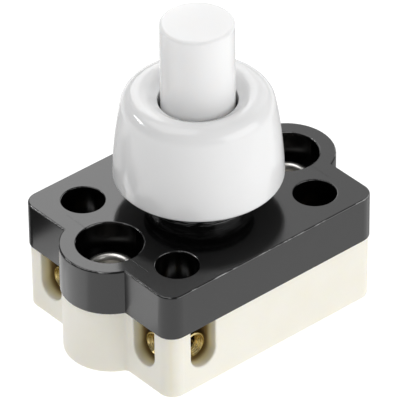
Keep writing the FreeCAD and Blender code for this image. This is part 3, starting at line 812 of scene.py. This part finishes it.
class RuleTree:
    """A geometry tree that makes a piece by a rule from named sizes."""

    def __init__(self, name: str) -> None:
        """Start the tree with its geometry input.

        Args:
            name: the tree's name.
        """
        self.tree = bpy.data.node_groups.new(name, "GeometryNodeTree")
        self.graph = Graph(self.tree)
        self.values: dict[str, object] = {}
        self.start = self.graph.input_id("Start", "NodeSocketGeometry")[1]
        self.tree.interface.new_socket(name="Result", in_out="OUTPUT", socket_type="NodeSocketGeometry")

    def value(self, name: str, kind: str, value: object) -> bpy.types.NodeSocket:
        """Add a named input, and remember its value for the modifier.

        Args:
            name: the input's name.
            kind: the type of its socket.
            value: its value.

        Returns:
            The socket that carries the value.
        """
        identifier, socket = self.graph.input_id(name, kind, value)
        self.values[identifier] = value
        return socket

    def size(self, name: str, value: float) -> Level:
        """A named length or other plain number."""
        return Level(self.graph, self.value(name, "NodeSocketFloat", value))

    def count(self, name: str, value: int) -> bpy.types.NodeSocket:
        """A named whole number."""
        return self.value(name, "NodeSocketInt", value)

    def ring(self, radius: Level, steps: bpy.types.NodeSocket | int) -> bpy.types.NodeSocket:
        """A circle in the level plane.

        Args:
            radius: its radius.
            steps: how many points it has.

        Returns:
            The circle as a curve.
        """
        sockets = {"Radius": radius, "Resolution": steps}
        return self.graph.node("GeometryNodeCurvePrimitiveCircle", None, sockets).outputs[0]

    def sweep(self, path: object, profile: object) -> bpy.types.NodeSocket:
        """Sweep a profile along a path, with closed ends.

        Args:
            path: the path as a curve.
            profile: the profile as a curve.

        Returns:
            The swept mesh.
        """
        sockets = {"Curve": path, "Profile Curve": profile, "Fill Caps": True}
        return self.graph.node("GeometryNodeCurveToMesh", None, sockets).outputs[0]

    def finish(
        self, shape: object, base: bpy.types.Object, material: bpy.types.Material
    ) -> bpy.types.Object:
        """End the tree, run it on an object and keep the result as a plain mesh.

        Args:
            shape: the tree's last geometry.
            base: the object whose mesh the tree starts from.
            material: the finish of the result.

        Returns:
            The same object, with the result as its mesh.
        """
        identifier, finish = self.graph.input_id("Finish", "NodeSocketMaterial")
        self.values[identifier] = material
        whole = self.graph.node("GeometryNodeRealizeInstances", None, {0: shape}).outputs[0]
        sockets = {"Geometry": whole, "Material": finish}
        dressed = self.graph.node("GeometryNodeSetMaterial", None, sockets).outputs[0]
        self.graph.node("NodeGroupOutput", None, {"Result": dressed})
        modifier = base.modifiers.new("rule", "NODES")
        modifier.node_group = self.tree
        for key, value in self.values.items():
            modifier[key] = value
        reading = bpy.context.evaluated_depsgraph_get()
        mesh = bpy.data.meshes.new_from_object(base.evaluated_get(reading), depsgraph=reading)
        base.modifiers.remove(modifier)
        base.data = mesh
        return base


def start_piece(
    name: str, points: Sequence[Vector], edges: Sequence[tuple[int, int]] = ()
) -> bpy.types.Object:
    """Add an object that a rule starts from.

    Args:
        name: the piece's name.
        points: places in the frame.
        edges: pairs of points that are joined.

    Returns:
        The object.
    """
    mesh = bpy.data.meshes.new(name)
    mesh.from_pydata([tuple(point) for point in points], list(edges), [])
    piece = bpy.data.objects.new(name, mesh)
    bpy.context.scene.collection.objects.link(piece)
    return piece


def tell(piece: bpy.types.Object, body: Body) -> None:
    """Report a finished piece in the log."""
    report.info("%s rides on %s with %d faces", piece.name, body.value, len(piece.data.polygons))


@dataclass
class Assembly:
    """A group of pieces that share a body and their finishes."""

    frame: dict
    finishes: Finishes

    def dress_node(self, node: str, slot: Slot, body: Body) -> None:
        """Give a node of the frame its finish.

        Args:
            node: the node's name.
            slot: its finish.
            body: the body it rides on.
        """
        piece = self.frame["nodes"][node]
        self.finishes.dress(piece, slot)
        tell(piece, body)

    def keep(self, piece: bpy.types.Object, slot: Slot, body: Body) -> bpy.types.Object:
        """Let a new piece ride on its body.

        Args:
            piece: the piece.
            slot: not used.
            body: the body it rides on.

        Returns:
            The piece.
        """
        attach(piece, body.value)
        tell(piece, body)
        return piece


@dataclass
class Casing(Assembly):
    """Cream base and black cover plate, with the faint weld lines of the plate."""

    plate_top: float = PLATE_TOP
    weld_radius: float = 0.025 * MM
    weld_sink: float = 0.012 * MM
    weld_sides: int = 8
    weld_x: float = 10.8 * MM
    recess_edge_y: float = RECESS_RADIUS
    weld_end_y: float = 5.6 * MM
    recess_edge_x: float = 7.36 * MM
    weld_end_x: float = 6.6 * MM
    weld_offset_y: float = 0.1 * MM

    def build(self) -> None:
        """Dress both mouldings and add the weld lines."""
        self.dress_node("base_housing", Slot.CREAM, Body.HOUSING)
        self.dress_node("cover_plate", Slot.BLACK, Body.HOUSING)
        self.weld_lines()

    def weld_ends(self) -> list[Vector]:
        """Find the ends of the weld lines, pair by pair.

        Returns:
            Places on the plate's top.
        """
        height = self.plate_top - self.weld_sink
        points = []
        for side in (-1, 1):
            for along in (-1, 1):
                points.append(Vector((self.weld_x * side, self.recess_edge_y * along, height)))
                points.append(Vector((self.weld_x * side, self.weld_end_y * along, height)))
            for x in (self.recess_edge_x, self.weld_end_x):
                points.append(Vector((x * side, -self.weld_offset_y * side, height)))
        return points

    def weld_lines(self) -> bpy.types.Object:
        """Hairlines on the plate's top, where the melt met beside each recess.

        Returns:
            The lines as one piece.
        """
        points = self.weld_ends()
        edges = [(first, first + 1) for first in range(0, len(points), 2)]
        base = start_piece("plate_weld_lines", points, edges)
        rule = RuleTree("hairline")
        radius = rule.size("Line radius", self.weld_radius)
        steps = rule.count("Profile steps", self.weld_sides)
        path = rule.graph.node("GeometryNodeMeshToCurve", None, {0: rule.start}).outputs[0]
        shape = rule.sweep(path, rule.ring(radius, steps))
        return self.keep(rule.finish(shape, base, self.finishes.made[Slot.BLACK]), Slot.BLACK, Body.HOUSING)


@dataclass
class Terminals(Assembly):
    """Four clamp terminals with their screws and blades, and the ridges in their funnels."""

    place: Pair = TERMINAL_PLACE
    axis_height: float = 3.6515 * MM
    end_reach: float = 2.55 * MM
    side_reach: float = 2.35 * MM
    ridge_count: int = 4
    ridge_pitch: float = 0.15 * MM
    ridge_radius: float = 1.04 * MM
    ridge_taper: float = 0.1 * MM
    ridge_thickness: float = 0.035 * MM
    ridge_steps: int = 48
    ridge_sides: int = 6

    def build(self) -> None:
        """Dress the terminals, screws and blades, and add the ridges."""
        for side in ("left", "right"):
            for end in ("front", "back"):
                self.dress_node(f"terminal_{side}_{end}", Slot.TERMINAL_BRASS, Body.HOUSING)
                self.dress_node(f"terminal_screw_{side}_{end}", Slot.SCREW_STEEL, Body.HOUSING)
                self.dress_node(f"contact_blade_{side}_{end}", Slot.BLADE_BRASS, Body.HOUSING)
        self.funnel_ridges()

    def mouths(self) -> tuple[list[Vector], list[Vector]]:
        """Places and outward directions of the six barrels' mouths.

        Returns:
            The places, and the directions in the same order.
        """
        terminal_x, terminal_y = self.place
        places = []
        ways = []
        for side in (-1, 1):
            for end in (-1, 1):
                x = (terminal_x + self.end_reach) * side
                places.append(Vector((x, terminal_y * end, self.axis_height)))
                ways.append(Vector((side, 0, 0)))
            y = (terminal_y + self.side_reach) * side
            places.append(Vector((terminal_x * side, y, self.axis_height)))
            ways.append(Vector((0, side, 0)))
        return places, ways

    def ridge_stack(self, rule: RuleTree) -> bpy.types.NodeSocket:
        """Ridges one behind the other, smaller ring by ring, down from the origin.

        Args:
            rule: the tree that the ridges are made in.

        Returns:
            The ridges as instances.
        """
        graph = rule.graph
        radius = rule.size("Largest ridge radius", self.ridge_radius)
        thickness = rule.size("Ridge thickness", self.ridge_thickness)
        pitch = rule.size("Ridge pitch", self.ridge_pitch)
        taper = rule.size("Radius lost per ridge", self.ridge_taper)
        count = rule.count("Ridges", self.ridge_count)
        ring = rule.sweep(rule.ring(radius, self.ridge_steps), rule.ring(thickness, self.ridge_sides))
        step = graph.node("ShaderNodeCombineXYZ", None, {"Z": pitch * -1.0}).outputs[0]
        sockets = {"Count": count, "Start Location": step, "Offset": step}
        line = graph.node("GeometryNodeMeshLine", None, sockets).outputs[0]
        index = Level(graph, graph.node("GeometryNodeInputIndex").outputs[0])
        share = 1.0 - index * taper / radius
        scale = graph.node("ShaderNodeCombineXYZ", None, {"X": share, "Y": share, "Z": 1.0}).outputs[0]
        sockets = {"Points": line, "Instance": ring, "Scale": scale}
        return graph.node("GeometryNodeInstanceOnPoints", None, sockets).outputs[0]

    def funnel_ridges(self) -> bpy.types.Object:
        """Tool ridges inside the funnel of each barrel.

        Returns:
            The ridges as one piece.
        """
        places, ways = self.mouths()
        base = start_piece("funnel_ridges", places)
        outward = base.data.attributes.new("outward", "FLOAT_VECTOR", "POINT")
        outward.data.foreach_set("vector", [number for way in ways for number in way])
        rule = RuleTree("ridges_in_a_funnel")
        graph = rule.graph
        stack = self.ridge_stack(rule)
        settings = {"data_type": "FLOAT_VECTOR"}
        way = graph.node("GeometryNodeInputNamedAttribute", settings, {"Name": "outward"}).outputs[0]
        turn = graph.node("FunctionNodeAlignRotationToVector", {"axis": "Z"}, {"Vector": way}).outputs[0]
        sockets = {"Points": rule.start, "Instance": stack, "Rotation": turn}
        shape = graph.node("GeometryNodeInstanceOnPoints", None, sockets).outputs[0]
        brass = self.finishes.made[Slot.TERMINAL_BRASS]
        return self.keep(rule.finish(shape, base, brass), Slot.TERMINAL_BRASS, Body.HOUSING)


@dataclass
class Mechanism(Assembly):
    """Rotor with its bridge plates, and the return spring inside the button."""

    spring_foot: float = 4.41 * MM
    spring_top: float = 19.3 * MM
    spring_radius: float = 1.6 * MM
    wire_radius: float = 0.2 * MM
    wire_sides: int = 12
    spring_turns: float = 10.0
    turn_steps: int = 36
    end_closing: float = 0.7
    stroke: float = 2.6 * MM

    def build(self) -> None:
        """Dress the moving contacts and wind the spring."""
        self.dress_node("ratchet_rotor", Slot.NYLON, Body.ROTOR)
        self.dress_node("bridge_plate_front", Slot.BLADE_BRASS, Body.ROTOR)
        self.dress_node("bridge_plate_back", Slot.BLADE_BRASS, Body.ROTOR)
        self.spring()

    def coil(self, rule: RuleTree) -> bpy.types.NodeSocket:
        """Line of the wire's middle, with the end turns closed.

        Args:
            rule: the tree that the coil is made in.

        Returns:
            The line as a curve.
        """
        graph = rule.graph
        radius = rule.size("Coil radius", self.spring_radius)
        foot = rule.size("Foot height", self.spring_foot + self.wire_radius)
        length = rule.size("Length", self.spring_top - self.spring_foot - 2.0 * self.wire_radius)
        turns = rule.size("Turns", self.spring_turns)
        closing = rule.size("Closing of the end turns", self.end_closing)
        steps = rule.count("Steps per turn", self.turn_steps)
        sockets = {"Resolution": steps, "Rotations": turns, "Start Radius": radius, "End Radius": radius}
        coil = graph.node("GeometryNodeCurveSpiral", None, {**sockets, "Height": 1.0}).outputs[0]
        spot = graph.node("GeometryNodeInputPosition").outputs[0]
        x, y, z = graph.node("ShaderNodeSeparateXYZ", None, {0: spot}).outputs
        share = Level(graph, z)
        height = foot + length * (share - closing * (share * math.tau).wave() / math.tau)
        moved = graph.node("ShaderNodeCombineXYZ", None, {"X": x, "Y": y, "Z": height}).outputs[0]
        return graph.node("GeometryNodeSetPosition", None, {"Geometry": coil, "Position": moved}).outputs[0]

    def spring(self) -> bpy.types.Object:
        """Coil spring with closed end turns, in place of the imported spring.

        Returns:
            The spring.
        """
        base = start_piece("return_spring_wire", [Vector((0, 0, self.spring_foot))])
        rule = RuleTree("closed_end_spring")
        wire = rule.size("Wire radius", self.wire_radius)
        shape = rule.sweep(self.coil(rule), rule.ring(wire, self.wire_sides))
        piece = rule.finish(shape, base, self.finishes.made[Slot.SPRING_STEEL])
        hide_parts("return_spring")
        self.keep(piece, Slot.SPRING_STEEL, Body.HOUSING)
        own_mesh(piece)
        return piece


@dataclass
class Actuator(Assembly):
    """Push button and ring nut."""

    def build(self) -> None:
        """Dress the button and the nut."""
        self.dress_node("push_button", Slot.BUTTON, Body.BUTTON)
        self.dress_node("ring_nut", Slot.WHITE, Body.NUT)


@dataclass
class Rivets(Assembly):
    """Two hollow rivets that hold the mouldings together."""

    def build(self) -> None:
        """Dress both rivets."""
        for side in ("left", "right"):
            self.dress_node(f"rivet_{side}", Slot.RIVET_STEEL, Body.HOUSING)


def direction(azimuth: float, elevation: float) -> Vector:
    """Direction from the switch towards a viewer.

    Args:
        azimuth: degrees round the neck, 0 in front and 90 at the right-hand lobe.
        elevation: degrees above the floor.

    Returns:
        The unit vector.
    """
    turn = math.radians(azimuth)
    lift = math.radians(elevation)
    level = math.cos(lift)
    return Vector((math.sin(turn) * level, -math.cos(turn) * level, math.sin(lift)))


def grey(level: float) -> Colour:
    """A grey of one brightness."""
    return (level, level, level)


@dataclass(frozen=True)
class SoftBox:
    """A square of studio light that faces the switch."""

    name: str
    azimuth: float
    elevation: float
    distance: float
    width: float
    height: float
    brightness: float
    shift: float = 0.0
    in_diffuse: bool = True
    target: Triple = (0.0, 0.0, 12.0 * MM)

    def build(self) -> bpy.types.Object:
        """Add the light, moved along its own width by its shift.

        Returns:
            The light's object.
        """
        lamp = bpy.data.lights.new(self.name, "AREA")
        lamp.shape = "RECTANGLE"
        lamp.size = self.width
        lamp.size_y = self.height
        lamp.energy = self.brightness * math.pi * self.width * self.height
        made = bpy.data.objects.new(self.name, lamp)
        bpy.context.scene.collection.objects.link(made)
        way = direction(self.azimuth, self.elevation)
        facing = way.to_track_quat("Z", "Y")
        made.rotation_mode = "QUATERNION"
        made.rotation_quaternion = facing
        made.location = Vector(self.target) + way * self.distance + facing @ Vector((self.shift, 0.0, 0.0))
        made.visible_diffuse = self.in_diffuse
        return made


@dataclass(frozen=True)
class Card:
    """A card just above the floor, which only the gloss of the switch can see."""

    name: str
    corner: Pair
    size: Pair
    glow: float


@dataclass
class Studio:
    """Pale floor, soft light all round, and the camera at the photograph's place."""

    azimuth: float = -40.439
    elevation: float = 36.103
    roll: float = -0.6675
    distance: float = 456.335 * MM
    focal_length: float = 5036.34
    centre_x: float = 199.0036
    centre_y: float = 199.7895
    aim: Triple = (0.0, 0.0, 10.9 * MM)
    picture: float = 400.0
    sensor: float = 36.0
    nearest: float = 10.0 * MM
    farthest: float = 20.0
    floor_size: float = 3.0
    floor_height: float = -0.02 * MM
    floor_shade: float = 0.15
    floor_glow: Pair = (1.0, 0.9)
    glow_way: Pair = (0.76, -0.65)
    glow_reach: Pair = (-12.0 * MM, 30.0 * MM)
    sky_brightness: float = 0.22
    stage_roughness: float = 0.7
    card_height: float = 0.2 * MM
    card_shade: float = 0.01
    cards: tuple[Card, ...] = (
        Card("black_card", (-32.0 * MM, 16.7 * MM), (18.0 * MM, 23.3 * MM), 0.0),
        Card("dim_card", (-13.9 * MM, 17.3 * MM), (20.0 * MM, 40.0 * MM), 0.4),
        Card("bright_card", (-40.0 * MM, -1.0 * MM), (22.5 * MM, 14.5 * MM), 1.55),
        Card("grey_card", (17.0 * MM, -9.0 * MM), (60.0 * MM, 60.0 * MM), 0.35),
    )
    boxes: tuple[SoftBox, ...] = (
        SoftBox("back_left_box", 139.5, 36.0, 0.16, 0.08, 0.09, 1.56, 0.037),
        SoftBox("back_box", 139.5, 36.0, 0.2, 0.24, 0.14, 0.93, -0.03),
        SoftBox("right_box", 24.0, 24.0, 0.3, 0.3, 0.2, 2.5),
        SoftBox("top_box", 228.0, 69.0, 0.4, 0.3, 0.3, 2.05),
        SoftBox("left_window", 216.0, 31.5, 0.3, 0.1, 0.022, 24.0, in_diffuse=False),
    )

    def build(self) -> None:
        """Add the floor, the cards, the lights and the camera."""
        bpy.context.scene.view_settings.view_transform = "Standard"
        self.floor()
        for card in self.cards:
            self.lay(card)
        self.sky()
        for box in self.boxes:
            box.build()
        self.camera()

    def sheet(self, name: str, corner: Pair, size: Pair, height: float) -> bpy.types.Object:
        """A level sheet of the studio.

        Args:
            name: its name.
            corner: its left front corner.
            size: its width and depth.
            height: its height.

        Returns:
            The sheet.
        """
        left, front = corner
        right = left + size[0]
        back = front + size[1]
        corners = [(left, front), (right, front), (right, back), (left, back)]
        mesh = bpy.data.meshes.new(name)
        mesh.from_pydata([(x, y, height) for x, y in corners], [], [(0, 1, 2, 3)])
        made = bpy.data.objects.new(name, mesh)
        bpy.context.scene.collection.objects.link(made)
        return made

    def stage_finish(self, name: str, shade: float, glow: Pair) -> bpy.types.Material:
        """A matt finish for a piece of the studio.

        Args:
            name: its name.
            shade: its grey.
            glow: light that it gives by itself, at the left back and at the right front.

        Returns:
            The material.
        """
        made = bpy.data.materials.new(name)
        made.use_nodes = True
        graph = Graph(made.node_tree)
        low, high = glow
        light = grey(low)
        if low != high:
            x, y, _ = graph.axes()
            across, along = self.glow_way
            share = (x * across + y * along).rise(*self.glow_reach)
            light = graph.blend(share, grey(low), grey(high))
        sockets = {
            "Base Color": grey(shade),
            "Roughness": self.stage_roughness,
            "Emission Color": light,
            "Emission Strength": 1.0,
        }
        shader = graph.node("ShaderNodeBsdfPrincipled", None, sockets)
        graph.node("ShaderNodeOutputMaterial", None, {"Surface": shader.outputs[0]})
        return made

    def floor(self) -> None:
        """The pale floor, a little brighter at the left back."""
        half = self.floor_size / 2.0
        floor = self.sheet("floor", (-half, -half), (self.floor_size, self.floor_size), self.floor_height)
        floor.data.materials.append(self.stage_finish("pale_floor", self.floor_shade, self.floor_glow))

    def lay(self, card: Card) -> None:
        """Lay a card just above the floor, where only gloss rays see it.

        Args:
            card: the card.
        """
        made = self.sheet(card.name, card.corner, card.size, self.card_height)
        finish = self.stage_finish(f"{card.name}_finish", self.card_shade, (card.glow, card.glow))
        made.data.materials.append(finish)
        made.visible_camera = False
        made.visible_diffuse = False
        made.visible_shadow = False

    def sky(self) -> None:
        """Even light from all round."""
        world = bpy.data.worlds.new("studio")
        bpy.context.scene.world = world
        world.use_nodes = True
        graph = Graph(world.node_tree)
        sockets = {"Color": (1.0, 1.0, 1.0), "Strength": self.sky_brightness}
        light = graph.node("ShaderNodeBackground", None, sockets)
        graph.node("ShaderNodeOutputWorld", None, {"Surface": light.outputs[0]})

    def lens(self) -> bpy.types.Camera:
        """The lens, with the photograph's framing.

        Returns:
            The camera's data.
        """
        lens = bpy.data.cameras.new("camera")
        lens.sensor_width = self.sensor
        lens.lens = self.focal_length * self.sensor / self.picture
        lens.shift_x = (self.picture / 2.0 - self.centre_x) / self.picture
        lens.shift_y = (self.centre_y - self.picture / 2.0) / self.picture
        lens.clip_start = self.nearest
        lens.clip_end = self.farthest
        return lens

    def camera(self) -> None:
        """The camera, at the photograph's viewing angle."""
        back = direction(self.azimuth, self.elevation)
        turn = math.radians(self.azimuth)
        right = Vector((math.cos(turn), math.sin(turn), 0.0))
        up = back.cross(right)
        lean = math.radians(self.roll)
        leaned_right = right * math.cos(lean) + up * math.sin(lean)
        leaned_up = up * math.cos(lean) - right * math.sin(lean)
        made = bpy.data.objects.new("camera", self.lens())
        place = Matrix((leaned_right, leaned_up, back)).transposed().to_4x4()
        place.translation = Vector(self.aim) + back * self.distance
        made.matrix_world = place
        bpy.context.scene.collection.objects.link(made)
        bpy.context.scene.camera = made


def main() -> None:
    """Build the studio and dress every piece."""
    logging.basicConfig(level=logging.INFO, format="%(name)s: %(message)s")
    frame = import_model()
    Studio().build()
    finishes = Finishes()
    for group in (Casing, Terminals, Mechanism, Actuator, Rivets):
        group(frame, finishes).build()


if __name__ == "__main__":
    main()
